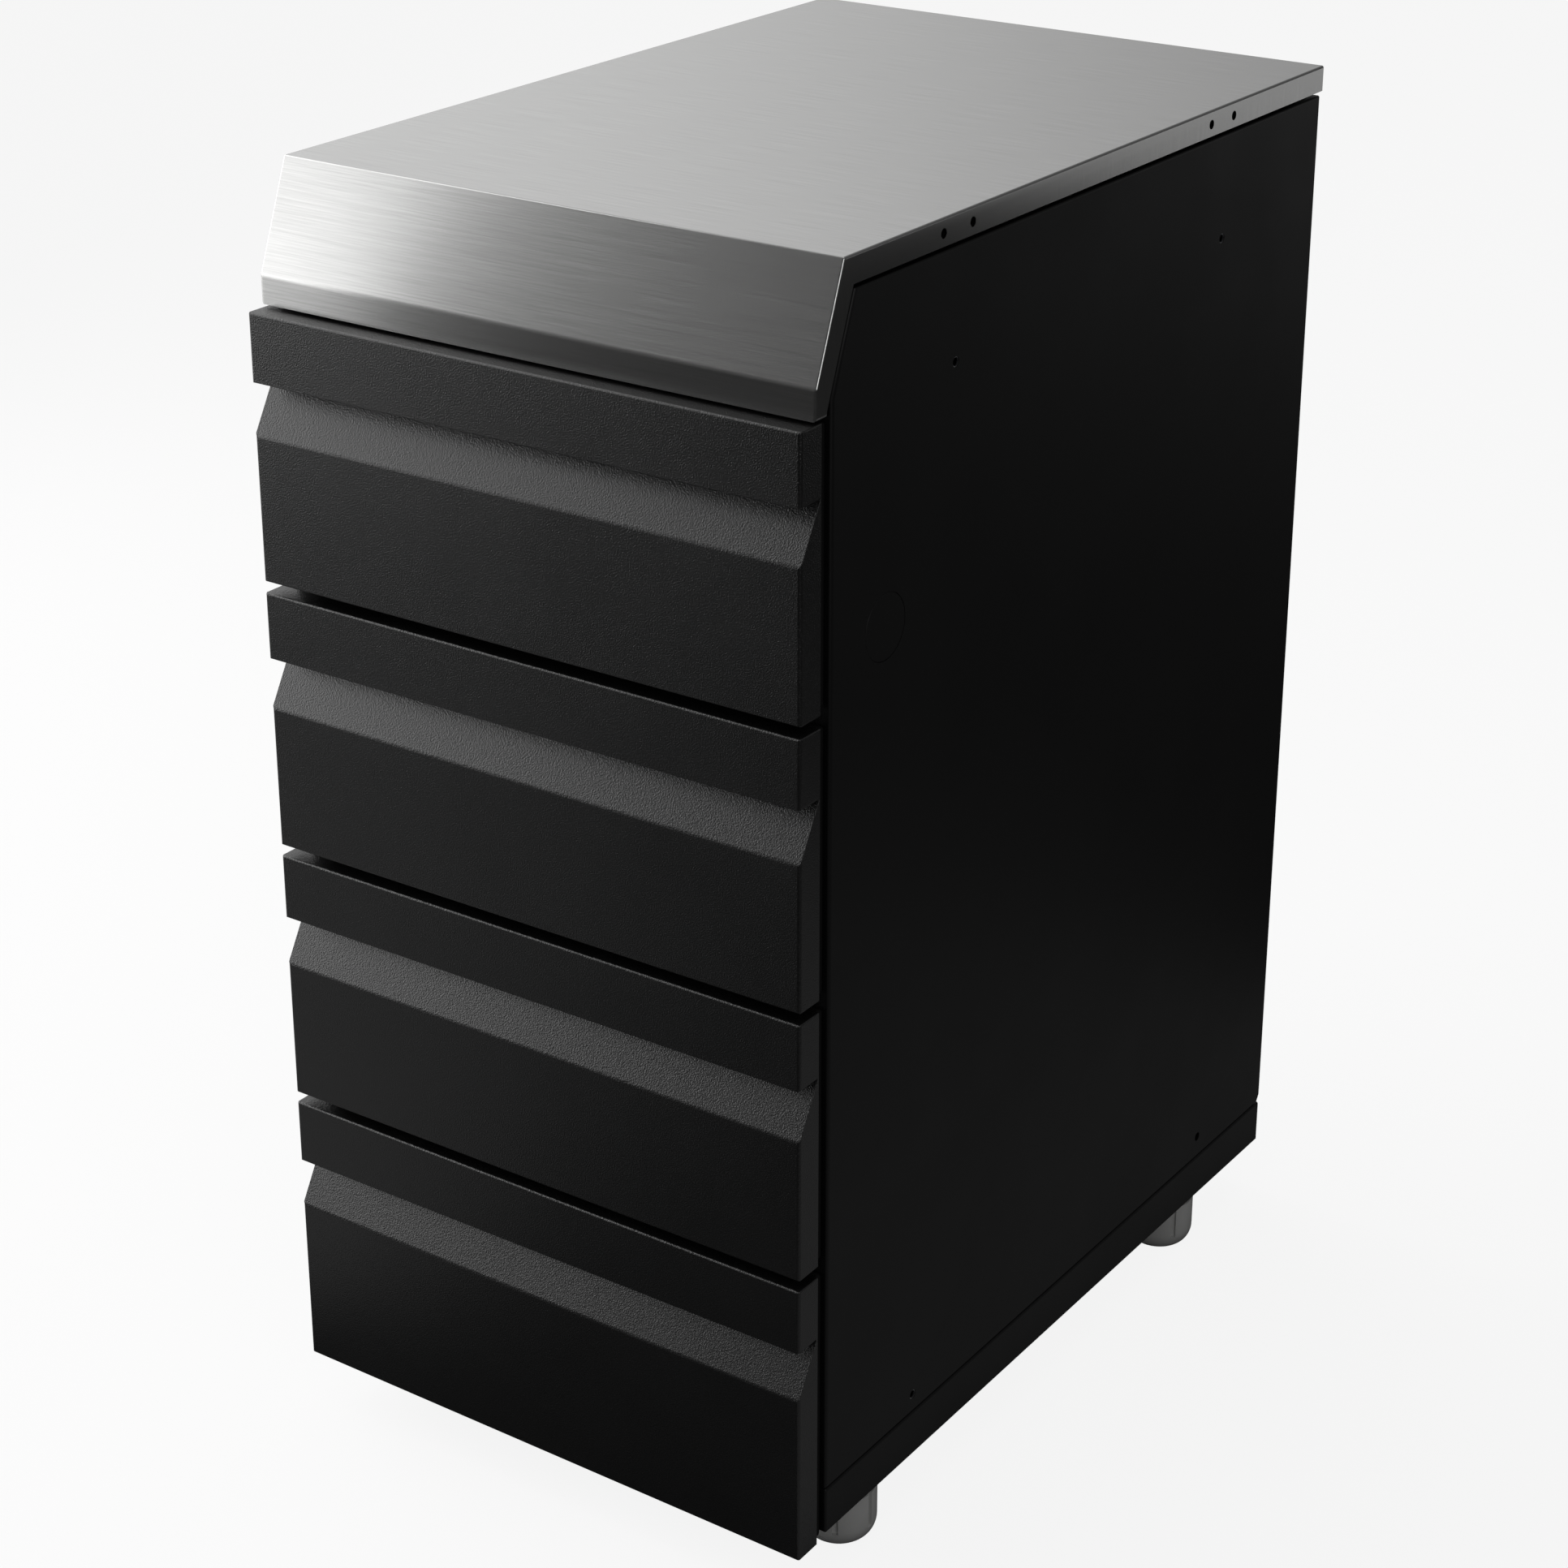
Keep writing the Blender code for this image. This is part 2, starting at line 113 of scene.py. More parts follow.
def turned(profile, segments):
    """Mesh of a profile of (radius, height) points turned about Z."""
    geometry = bmesh.new()
    points = [geometry.verts.new((radius, 0.0, height)) for radius, height in profile]
    edges = [geometry.edges.new(pair) for pair in zip(points, points[1:])]
    bmesh.ops.spin(
        geometry,
        geom=points + edges,
        cent=(0, 0, 0),
        axis=(0, 0, 1),
        angle=2 * math.pi,
        steps=segments,
        use_merge=True,
    )
    bmesh.ops.remove_doubles(geometry, verts=geometry.verts, dist=MERGE)
    bmesh.ops.recalc_face_normals(geometry, faces=geometry.faces)
    return mesh_from(geometry, "turned")


def evaluated(mesh, add_modifiers):
    """The mesh with the modifiers that add_modifiers puts on it."""
    holder = bpy.data.objects.new("holder", mesh)
    bpy.context.scene.collection.objects.link(holder)
    add_modifiers(holder)
    depsgraph = bpy.context.evaluated_depsgraph_get()
    result = bpy.data.meshes.new_from_object(holder.evaluated_get(depsgraph))
    bpy.data.objects.remove(holder, do_unlink=True)
    return result


def rounded(mesh, radius_of, segments=4):
    """Rounds each edge by the radius that radius_of(middle, direction) gives."""
    radii = []
    for edge in mesh.edges:
        start, end = (mesh.vertices[index].co for index in edge.vertices)
        radii.append(radius_of((start + end) / 2, (end - start).normalized()))
    widest = max(radii)
    weights = mesh.attributes.new("bevel_weight_edge", "FLOAT", "EDGE")
    weights.data.foreach_set("value", [radius / widest for radius in radii])

    def add_bevel(holder):
        bevel = holder.modifiers.new("round", "BEVEL")
        bevel.limit_method = "WEIGHT"
        bevel.width = widest
        bevel.segments = segments
        bevel.use_clamp_overlap = False

    result = evaluated(mesh, add_bevel)
    result.attributes.remove(result.attributes["bevel_weight_edge"])
    return result


def cut(mesh, *cutters):
    """The mesh without the space that the cutters fill."""
    helpers = []
    for cutter in cutters:
        helper = bpy.data.objects.new("cutter", cutter)
        bpy.context.scene.collection.objects.link(helper)
        helpers.append(helper)

    def add_cuts(holder):
        for helper in helpers:
            boolean = holder.modifiers.new("cut", "BOOLEAN")
            boolean.operation = "DIFFERENCE"
            boolean.solver = "EXACT"
            boolean.object = helper

    result = evaluated(mesh, add_cuts)
    for helper in helpers:
        bpy.data.objects.remove(helper, do_unlink=True)
    return result


def joined(meshes):
    """Several loose meshes as one."""
    geometry = bmesh.new()
    for mesh in meshes:
        geometry.from_mesh(mesh)
    return mesh_from(geometry, "joined")


def piece(name, mesh, materials, body, replaces=()):
    """Puts a finished mesh on its body, with even shading on its flat faces."""
    mesh.name = name
    item = bpy.data.objects.new(name, mesh)
    bpy.context.scene.collection.objects.link(item)
    mesh.materials.clear()
    for material in materials:
        mesh.materials.append(material)
    mesh.shade_smooth()
    mesh.set_sharp_from_angle(angle=SHARP_ANGLE)
    even = item.modifiers.new("even_shading", "WEIGHTED_NORMAL")
    even.keep_sharp = True
    even.weight = 100
    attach(item, body)
    if replaces:
        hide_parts(*replaces)
    return item


# ---------------------------------------------------------------- material helpers


class Shader:
    """A node material with short calls for the nodes it uses most."""

    def __init__(self, name, colour, roughness, metallic=0.0, specular=0.5):
        self.material = bpy.data.materials.new(name)
        self.material.use_nodes = True
        self.nodes = self.material.node_tree.nodes
        self.links = self.material.node_tree.links
        self.principled = self.nodes["Principled BSDF"]
        self.principled.inputs["Base Color"].default_value = (*colour, 1.0)
        self.principled.inputs["Roughness"].default_value = roughness
        self.principled.inputs["Metallic"].default_value = metallic
        self.principled.inputs["Specular IOR Level"].default_value = specular
        self.place = self.nodes.new("ShaderNodeTexCoord").outputs["Object"]

    def link(self, source, node, socket):
        self.links.new(source, node.inputs[socket])

    def noise(self, scale, detail=3.0, roughness=0.55, stretch=(1.0, 1.0, 1.0), offset=0.0):
        mapping = self.nodes.new("ShaderNodeMapping")
        mapping.inputs["Scale"].default_value = stretch
        mapping.inputs["Location"].default_value = (offset, offset * 1.7, offset * 0.6)
        self.link(self.place, mapping, "Vector")
        noise = self.nodes.new("ShaderNodeTexNoise")
        noise.inputs["Scale"].default_value = scale
        noise.inputs["Detail"].default_value = detail
        noise.inputs["Roughness"].default_value = roughness
        self.link(mapping.outputs["Vector"], noise, "Vector")
        return noise.outputs["Fac"]

    def spread(self, noise, low, high):
        """Maps a noise to low..high."""
        mapping = self.nodes.new("ShaderNodeMapRange")
        mapping.inputs["From Min"].default_value = NOISE_LOW
        mapping.inputs["From Max"].default_value = NOISE_HIGH
        mapping.inputs["To Min"].default_value = low
        mapping.inputs["To Max"].default_value = high
        self.link(noise, mapping, "Value")
        return mapping.outputs["Result"]

    def tint(self, noise, dark, light):
        """Lets the base colour wander between two colours."""
        mix = self.nodes.new("ShaderNodeMix")
        mix.data_type = "RGBA"
        mix.inputs["A"].default_value = (*dark, 1.0)
        mix.inputs["B"].default_value = (*light, 1.0)
        self.link(self.spread(noise, 0.0, 1.0), mix, "Factor")
        self.link(mix.outputs["Result"], self.principled, "Base Color")

    def roughen(self, noise, low, high):
        self.link(self.spread(noise, low, high), self.principled, "Roughness")

    def bump(self, height, distance, strength=1.0):
        bump = self.nodes.new("ShaderNodeBump")
        bump.inputs["Distance"].default_value = distance
        bump.inputs["Strength"].default_value = strength
        self.link(height, bump, "Height")
        self.link(bump.outputs["Normal"], self.principled, "Normal")


def brushed_stainless(name, along):
    """Stainless sheet brushed in the direction along."""
    shader = Shader(name, (0.60, 0.60, 0.59), 0.21, metallic=1.0)
    lines_along, lines_across = 16.0, 1500.0
    stretch = [lines_along if part else lines_across for part in along]
    fine = shader.noise(1.0, detail=2.0, roughness=0.6, stretch=stretch)
    shader.tint(fine, (0.480, 0.480, 0.475), (0.572, 0.572, 0.567))
    shader.roughen(fine, 0.208, 0.211)
    shader.principled.inputs["Anisotropic"].default_value = 0.95
    geometry = shader.nodes.new("ShaderNodeNewGeometry")
    across = shader.nodes.new("ShaderNodeVectorMath")
    across.operation = "CROSS_PRODUCT"
    across.inputs[1].default_value = along
    shader.link(geometry.outputs["Normal"], across, 0)
    shader.link(across.outputs["Vector"], shader.principled, "Tangent")
    return shader.material


def grained_coat():
    """Black powder coat with the fine grain of the drawer fronts."""
    shader = Shader("grained_coat", (0.004, 0.004, 0.004), 0.34, specular=1.0)
    grain = shader.noise(1000.0, detail=1.0, roughness=0.5)
    cloud = shader.noise(14.0, detail=3.0, offset=2.0)
    shader.tint(grain, (0.0006, 0.0006, 0.0006), (0.0078, 0.0078, 0.0080))
    shader.roughen(cloud, 0.32, 0.36)
    shader.bump(grain, distance=0.00028)
    return shader.material


def smooth_coat():
    """Matt black powder coat of the side panels, the base and the back."""
    shader = Shader("smooth_coat", (0.004, 0.004, 0.004), 0.5, specular=0.4)
    grain = shader.noise(900.0, detail=2.0)
    cloud = shader.noise(9.0, detail=3.0, offset=5.0)
    shader.tint(cloud, (0.0030, 0.0030, 0.0032), (0.0045, 0.0045, 0.0046))
    shader.roughen(cloud, 0.47, 0.53)
    shader.bump(grain, distance=0.00006, strength=0.5)
    return shader.material


def zinc_plate():
    """Bright zinc plated sheet of the boxes, runners and inner parts."""
    shader = Shader("zinc_sheet", (0.55, 0.56, 0.58), 0.35, metallic=1.0)
    spangle = shader.noise(60.0, detail=4.0, roughness=0.6)
    rolled = shader.noise(4.0, detail=2.0, stretch=(220.0, 5.0, 220.0), offset=1.0)
    shader.tint(spangle, (0.51, 0.52, 0.54), (0.59, 0.60, 0.62))
    shader.roughen(rolled, 0.34, 0.39)
    shader.bump(rolled, distance=0.000001)
    return shader.material


def seal_rubber():
    """Black foam rubber of the drawer seals."""
    shader = Shader("seal_foam", (0.006, 0.006, 0.006), 0.85, specular=0.25)
    pores = shader.noise(1500.0, detail=2.0)
    shader.roughen(pores, 0.75, 0.95)
    shader.bump(pores, distance=0.0001, strength=0.6)
    return shader.material


def foot_plastic():
    """Grey moulded plastic of the feet."""
    shader = Shader("foot_moulding", (0.17, 0.17, 0.168), 0.48)
    grain = shader.noise(800.0, detail=2.0)
    cloud = shader.noise(40.0, detail=3.0, offset=4.0)
    shader.tint(cloud, (0.62, 0.62, 0.61), (0.67, 0.67, 0.66))
    shader.roughen(grain, 0.42, 0.55)
    shader.bump(grain, distance=0.00008, strength=0.5)
    return shader.material


STAINLESS = brushed_stainless("stainless_brushed", (1.0, 0.0, 0.0))
STAINLESS_SIDE = brushed_stainless("stainless_brushed_side", (0.0, 0.0, 1.0))
GRAINED = grained_coat()
SMOOTH = smooth_coat()
ZINC = zinc_plate()
RUBBER = seal_rubber()
PLASTIC = foot_plastic()


# ---------------------------------------------------------------- cabinet


def make_worktop():
    """Folded stainless worktop with soft bends, side flanges and four holes in each flange."""
    low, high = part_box("worktop")
    sheet = THICK_STEEL
    top_bend, apron_bend, side_bend, apron_corner = 0.0009, 0.0018, 0.0016, 0.0040
    hole_radius, hole_drop, hole_backs = 0.0033, 0.0100, (0.1382, 0.1722, 0.4852, 0.5182)
    fold = low.y + 0.0287
    slope_end = high.z - 0.074
    flange = high.z - 0.0185
    outline = [
        (high.y, high.z),
        (fold, high.z),
        (low.y, slope_end),
        (low.y, low.z),
        (low.y + 0.0117, low.z),  # front edge of the side flange: the apron's foot,
        (low.y + 0.0157, low.z + 0.0165),  # up behind the apron,
        (low.y + 0.0387, flange),  # and up behind the slope
        (high.y, flange),
    ]
    mesh = outline_solid(outline, low.x, high.x)

    def bend(middle, direction):
        lengthwise = abs(direction.x) > ALONG
        at_side = abs(middle.x) > high.x - CLOSE
        outside = middle.z > flange + CLOSE or middle.y < low.y + CLOSE
        if lengthwise:
            at_fold, at_apron = abs(middle.y - fold) < CLOSE, abs(middle.z - slope_end) < CLOSE
            if (at_fold or at_apron) and outside:
                return top_bend if middle.z > slope_end + 0.01 else apron_bend
            return 0.0
        if not at_side:
            return 0.0
        if middle.z < low.z + CLOSE and abs(direction.y) > ALONG:
            return apron_corner
        on_slope = abs(middle.y - (fold + low.y) / 2) < CLOSE
        on_top = middle.z > high.z - CLOSE
        on_apron = middle.y < low.y + CLOSE
        return side_bend if on_slope or on_top or on_apron else 0.0

    mesh = rounded(mesh, bend)
    inner = [  # the open inside, a sheet's thickness within the outline
        (high.y - sheet, high.z - sheet),
        (fold + 0.0010, high.z - sheet),
        (low.y + 0.0016, slope_end - 0.0003),
        (low.y + sheet, low.z + sheet),
        (low.y + 0.0452, low.z + sheet),
        (high.y - sheet, low.z + 0.031),
    ]
    across = 0.46  # past both flanges
    holes = [rod((0.0, low.y + back, high.z - hole_drop), hole_radius, across) for back in hole_backs]
    mesh = cut(mesh, outline_solid(inner, low.x + sheet, high.x - sheet), *holes)
    brushing = [1 if abs(face.normal.x) > 0.7 else 0 for face in mesh.polygons]
    top = piece("worktop_sheet", mesh, [STAINLESS, STAINLESS_SIDE], "cabinet", ["worktop"])
    top.data.polygons.foreach_set("material_index", brushing)


# Holes of a side panel: distance behind its front edge, height over its lower edge.
UPPER_FRONT, UPPER_REAR = (0.1389, 0.7613), (0.4929, 0.7613)
LOWER_REAR, LOWER_FRONT = (0.5289, 0.0183), (0.1089, 0.0143)
SERVICE_HOLE = (0.0614, 0.6088)
HOLE_RADIUS = 0.0036
SERVICE_HOLE_RADIUS = 0.02275


def panel_outline(low, high, inset):
    """Side panel outline; its top front corner is cut parallel to the worktop's slope."""
    cut_foot, cut_top = 0.7731, 0.0245
    notch_height, notch_depth = 0.006, 0.004  # small cut at the lower rear corner
    lean = inset * 0.66
    return [
        (low.y + inset, low.z + inset),
        (low.y + inset, low.z + cut_foot - lean * 0.3),
        (low.y + cut_top + lean, high.z - inset),
        (high.y - inset, high.z - inset),
        (high.y - inset, low.z + notch_height + inset * 0.5),
        (high.y - notch_depth - inset * 0.5, low.z + inset),
    ]


def make_side_panel(side, name):
    """Folded pan, open inwards, with four small holes and the service hole."""
    node = f"side_panel_{name}"
    low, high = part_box(node)
    front_bend, other_bend = 0.0030, 0.0016
    outer, inner = (high.x, low.x) if side > 0 else (low.x, high.x)
    mesh = outline_solid(panel_outline(low, high, 0.0), low.x, high.x)

    def fold(middle, direction):
        if abs(middle.x - outer) > CLOSE / 10:
            return 0.0
        in_front = middle.y < low.y + 0.03 and middle.z > low.z + 0.01
        return front_bend if in_front else other_bend

    mesh = rounded(mesh, fold)
    pocket_low, pocket_high = sorted((outer - side * STEEL, inner - side * 0.005))
    pocket = outline_solid(panel_outline(low, high, STEEL), pocket_low, pocket_high)

    def drill(hole, radius, segments):
        back, height = hole
        centre = (outer - side * 0.001, low.y + back, low.z + height)
        return rod(centre, radius, 0.012, segments)

    drills = [drill(SERVICE_HOLE, SERVICE_HOLE_RADIUS, 96)]
    for hole in (UPPER_FRONT, UPPER_REAR, LOWER_REAR, LOWER_FRONT):
        drills.append(drill(hole, HOLE_RADIUS, 48))
    piece(f"{node}_sheet", cut(mesh, pocket, *drills), [SMOOTH], "cabinet", [node])


def make_inserts(side, name):
    """Threaded inserts in the panel's two upper holes and the front one of the lower two."""
    low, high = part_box(f"side_panel_{name}")
    outer = high.x if side > 0 else low.x
    bore, rim, depth, recess = 0.0030, 0.0034, 0.0011, 0.0004
    rings = []
    for back, height in (UPPER_FRONT, UPPER_REAR, LOWER_FRONT):
        ring = turned([(bore, 0.0), (rim, 0.0), (rim, -depth), (bore, -depth), (bore, 0.0)], 32)
        place = Matrix.Translation((outer - side * recess, low.y + back, low.z + height))
        ring.transform(place @ Matrix.Rotation(side * QUARTER, 4, "Y"))
        rings.append(ring)
    piece(f"side_panel_{name}_inserts", joined(rings), [ZINC], "cabinet")


def make_hole_cover(side, name):
    """Plug of the service hole, flush with the panel, with a fine joint round it."""
    node = f"side_hole_cover_{name}"
    low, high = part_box(node)
    centre = (low + high) / 2
    outer = high.x if side > 0 else low.x
    face, edge, collar = 0.0222, 0.0225, 0.0255
    chamfer, step, depth = -0.0003, -0.0015, -0.0025
    profile = [(0.0, 0.0), (face, 0.0), (edge, chamfer), (edge, step)]
    profile += [(collar, step), (collar, depth), (0.0, depth)]
    mesh = turned(profile, 96)
    place = Matrix.Translation((outer, centre.y, centre.z))
    mesh.transform(place @ Matrix.Rotation(side * QUARTER, 4, "Y"))
    piece(f"{node}_disc", mesh, [SMOOTH], "cabinet", [node])


def make_base():
    """Plinth tray with folded corners, open underneath."""
    low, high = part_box("base_tray")
    sheet = THICK_STEEL
    corner, lower_edge = 0.0020, 0.0004

    def fold(middle, direction):
        return corner if abs(direction.z) > ALONG or middle.z > high.z - CLOSE else lower_edge

    mesh = rounded(block(low, high), fold)
    inner_high = (high.x - sheet, high.y - sheet, high.z - sheet)
    hollow = block((low.x + sheet, low.y + sheet, low.z - 0.01), inner_high)
    piece("base_tray_sheet", cut(mesh, hollow), [SMOOTH], "cabinet", ["base_tray"])


def make_foot(end, side_name):
    """Moulded levelling foot with a threaded stem and six grip notches."""
    node = f"foot_{end}_{side_name}"
    low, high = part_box(node)
    centre = (low + high) / 2
    radius = (high.x - low.x) / 2
    top = low.z + 0.0405
    stem, stem_tip = 0.0050, 0.0042
    base_round, base_height = 0.0120, 0.0150
    first_notch = -2 if end == "front" else 24.6
    notch_half, notch_depth, notch_foot = 0.0021, 0.0028, 0.013
    profile = [(0.0, high.z), (stem_tip, high.z), (stem, high.z - 0.0008), (stem, top)]
    profile += [(radius - 0.0015, top), (radius - 0.0004, top - 0.0004), (radius, top - 0.0015)]
    for step in range(13):
        angle = QUARTER * step / 12
        across = radius - base_round + base_round * math.cos(angle)
        profile.append((across, low.z + base_height - base_height * math.sin(angle)))
    profile.append((0.0, low.z))
    notches = []
    for step in range(6):
        notch_low = (radius - notch_depth, -notch_half, low.z + notch_foot)
        notch_high = (radius + 0.004, notch_half, top + 0.004)
        notch = block(notch_low, notch_high)
        notch.transform(Matrix.Rotation(math.radians(60 * step + first_notch), 4, "Z"))
        notches.append(notch)
    mesh = cut(turned(profile, 96), *notches)
    mesh.transform(Matrix.Translation((centre.x, centre.y, 0.0)))
    piece(f"{node}_moulding", mesh, [PLASTIC], f"{node}_body", [node])


# ---------------------------------------------------------------- drawers


def round_corner(x, z, side, radius):
    """Outline in X, Z of what a rounded lower corner at (x, z) leaves out."""
    outside, below = x + side * PAST, z - PAST
    outline = [(x - side * radius, below), (outside, below), (outside, z + radius)]
    for step in range(9):
        angle = QUARTER * step / 8
        across = radius * (math.cos(angle) - 1)
        outline.append((x + side * across, z + radius * (1 - math.sin(angle))))
    return outline


def make_drawer_front(number):
    """Folded front: lip with a finger space behind it, slanted face and lower face."""
    node = f"drawer_front_{number}"
    low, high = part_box(node)
    sheet = STEEL
    lip_height, slant_height, lip_thickness, lip_corner = 0.048, 0.037, 0.0042, 0.0020
    face_bend, side_bend, lip_end_bend, back_bend = 0.0024, 0.0016, 0.0005, 0.0004
    slant_bend, rear_bend = 0.0003, 0.0010
    slant_sheet = 0.00243  # the sheet of the slanted face, measured upright
    back = high.y - sheet
    lip = high.z - lip_height
    slant_end = lip - slant_height
    outline = [
        (low.y, high.z),
        (low.y, lip),
        (back, lip),
        (low.y, slant_end),
        (low.y, low.z),
        (high.y, low.z),
        (high.y, high.z),
    ]
    mesh = outline_solid(outline, low.x, high.x)

    def fold(middle, direction):
        if abs(direction.x) > ALONG:
            if middle.y > low.y + CLOSE:
                return 0.0
            return lip_end_bend if abs(middle.z - lip) < CLOSE / 2 else side_bend
        if middle.y < low.y + CLOSE:
            return face_bend
        if abs(direction.z) > 0.95:
            return back_bend
        near_lip = abs(middle.z - lip) < 0.02  # the slanted ends and the edges at the lip
        return slant_bend if near_lip else rear_bend

    mesh = rounded(mesh, fold)
    finger_space = [
        (low.y + sheet, high.z - sheet),
        (low.y + sheet, lip + sheet),
        (low.y + lip_thickness, lip + sheet),
        (low.y + lip_thickness, lip - 0.006),
        (back, lip + 0.0001),
        (back, high.z - sheet),
    ]
    hollow = [
        (low.y + sheet, slant_end - slant_sheet + 0.0021),
        (low.y + sheet, low.z + sheet),
        (back, low.z + sheet),
        (back, lip - slant_sheet),
    ]
    cutters = [outline_solid(shape, low.x + sheet, high.x - sheet) for shape in (finger_space, hollow)]
    for side in (-1, 1):
        corner = round_corner(side * high.x, lip, side, lip_corner)
        cutters.append(outline_solid(corner, low.y - PAST, back - PAST, "Y"))
    piece(f"{node}_sheet", cut(mesh, *cutters), [GRAINED], f"drawer_{number}", [node])


def make_screw_heads(spots, wall):
    """Pan heads with a cross recess, on the inner face of a wall that looks to the back."""
    profile = [(0.0, 0.0022), (0.0012, 0.00215), (0.0026, 0.0018), (0.0036, 0.0010)]
    profile += [(0.0040, 0.0), (0.0, -0.0006)]
    long, narrow, floor, above = 0.0022, 0.0004, 0.0008, 0.003
    heads = []
    for x, z in spots:
        recess = [block((-long, -narrow, floor), (long, narrow, above))]
        recess.append(block((-narrow, -long, floor), (narrow, long, above)))
        head = cut(turned(profile, 32), *recess)
        head.transform(Matrix.Translation((x, wall, z)) @ Matrix.Rotation(-QUARTER, 4, "X"))
        heads.append(head)
    return joined(heads)


def make_drawer_box(number):
    """Folded steel tray with soft corners, a hem round its mouth and the four screws of the front."""
    node = f"drawer_box_{number}"
    low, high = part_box(node)
    hem_height = 0.0080
    hem = Vector((0.0013, 0.0013, 0.0))
    screw_side, screw_drops = 0.150, (0.074, 0.134)

    corner, bottom_edge, hem_edge = 0.0020, 0.0012, 0.0005
    inner_corner, inner_hem_edge = 0.0010, 0.0003

    def fold(middle, direction):
        if abs(direction.z) > ALONG:
            return corner
        return bottom_edge if middle.z < low.z + CLOSE else hem_edge

    tray = rounded(block(low, high), fold, 3)
    well_low = low + Vector((STEEL, STEEL, STEEL))
    well_high = Vector((high.x - STEEL, high.y - STEEL, high.z - hem_height))

    def inner_fold(middle, direction):
        at_corner = abs(direction.z) > ALONG or middle.z < well_low.z + CLOSE
        return inner_corner if at_corner else inner_hem_edge

    well = rounded(block(well_low, well_high), inner_fold, 3)
    mouth_low = Vector((well_low.x, well_low.y, well_high.z - PAST)) + hem
    mouth_high = Vector((well_high.x, well_high.y, high.z + 0.01)) - hem
    mouth = rounded(block(mouth_low, mouth_high), inner_fold, 3)
    drawer = f"drawer_{number}"
    piece(f"{node}_tray", cut(tray, well, mouth), [ZINC], drawer, [node])
    spots = [(side * screw_side, high.z - drop) for side in (-1, 1) for drop in screw_drops]
    heads = make_screw_heads(spots, low.y + STEEL)
    piece(f"{node}_screws", heads, [ZINC], drawer)


def soften(node, radius, material, body):
    """Puts a copy of a sheet metal part with slightly rounded edges in its place."""
    geometry = bmesh.new()
    geometry.from_mesh(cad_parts[node].data)
    bmesh.ops.remove_doubles(geometry, verts=geometry.verts, dist=MERGE)
    bmesh.ops.dissolve_limit(geometry, angle_limit=0.02, verts=geometry.verts, edges=geometry.edges)

    def add_bevel(holder):
        bevel = holder.modifiers.new("round", "BEVEL")
        bevel.limit_method = "ANGLE"
        bevel.angle_limit = math.radians(40)
        bevel.width = radius
        bevel.segments = 2

    mesh = evaluated(mesh_from(geometry, node), add_bevel)
    piece(f"{node}_part", mesh, [material], body, [node])


def make_inner_parts():
    """Boxes, runners, seals and the sheet metal inside the carcass."""
    for number in DRAWERS:
        drawer = f"drawer_{number}"
        runner_bodies = (("fixed", "cabinet"), ("middle", f"runner_middle_{number}"), ("inner", drawer))
        make_drawer_box(number)
        soften(f"drawer_seal_{number}", 0.0020, RUBBER, drawer)
        for _, side_name in LEFT_RIGHT:
            for member, body in runner_bodies:
                soften(f"runner_{member}_{number}_{side_name}", 0.0004, ZINC, body)
    for _, side_name in LEFT_RIGHT:
        soften(f"side_liner_{side_name}", 0.0003, SMOOTH, "cabinet")
        for end in ENDS:
            soften(f"foot_nut_{end}_{side_name}", 0.0005, ZINC, "cabinet")
    soften("back_panel", 0.0008, SMOOTH, "cabinet")
    for end in ENDS:
        soften(f"base_cross_member_{end}", 0.0005, ZINC, "cabinet")
        soften(f"{end}_rail", 0.0004, ZINC, "cabinet")


# ---------------------------------------------------------------- stage


def make_floor():
    """Pale floor that shows a soft shadow and throws little light back on the dark cabinet."""
    geometry = bmesh.new()
    bmesh.ops.create_grid(geometry, x_segments=1, y_segments=1, size=40.0)
    floor = bpy.data.objects.new("floor", mesh_from(geometry, "floor"))
    bpy.context.scene.collection.objects.link(floor)
    shadow_share, own_glow, dim_share = 0.14, 0.88, 0.06
    shader = Shader("floor_paint", (shadow_share, shadow_share, shadow_share), 1.0, specular=0.0)
    nodes, links = shader.nodes, shader.links
    glow = nodes.new("ShaderNodeEmission")
    glow.inputs["Strength"].default_value = own_glow
    pale = nodes.new("ShaderNodeAddShader")
    links.new(shader.principled.outputs["BSDF"], pale.inputs[0])
    links.new(glow.outputs["Emission"], pale.inputs[1])
    dim = nodes.new("ShaderNodeBsdfDiffuse")
    dim.inputs["Color"].default_value = (dim_share, dim_share, dim_share, 1.0)
    path = nodes.new("ShaderNodeLightPath")
    seen = nodes.new("ShaderNodeMixShader")
    links.new(path.outputs["Is Camera Ray"], seen.inputs["Fac"])
    links.new(dim.outputs["BSDF"], seen.inputs[1])
    links.new(pale.outputs["Shader"], seen.inputs[2])
    links.new(seen.outputs["Shader"], nodes["Material Output"].inputs["Surface"])
    floor.data.materials.append(shader.material)


def area_light(name, centre, width, height, radiance):
    light = bpy.data.lights.new(name, "AREA")
    light.shape = "RECTANGLE"
    light.size = width
    light.size_y = height
    light.energy = radiance * math.pi * width * height
    lamp = bpy.data.objects.new(name, light)
    lamp.location = centre
    lamp.visible_camera = False
    bpy.context.scene.collection.objects.link(lamp)
    return lamp


def softbox(name, centre, target, width, height, radiance):
    lamp = area_light(name, centre, width, height, radiance)
    direction = Vector(target) - Vector(centre)
    lamp.rotation_euler = direction.to_track_quat("-Z", "Y").to_euler()


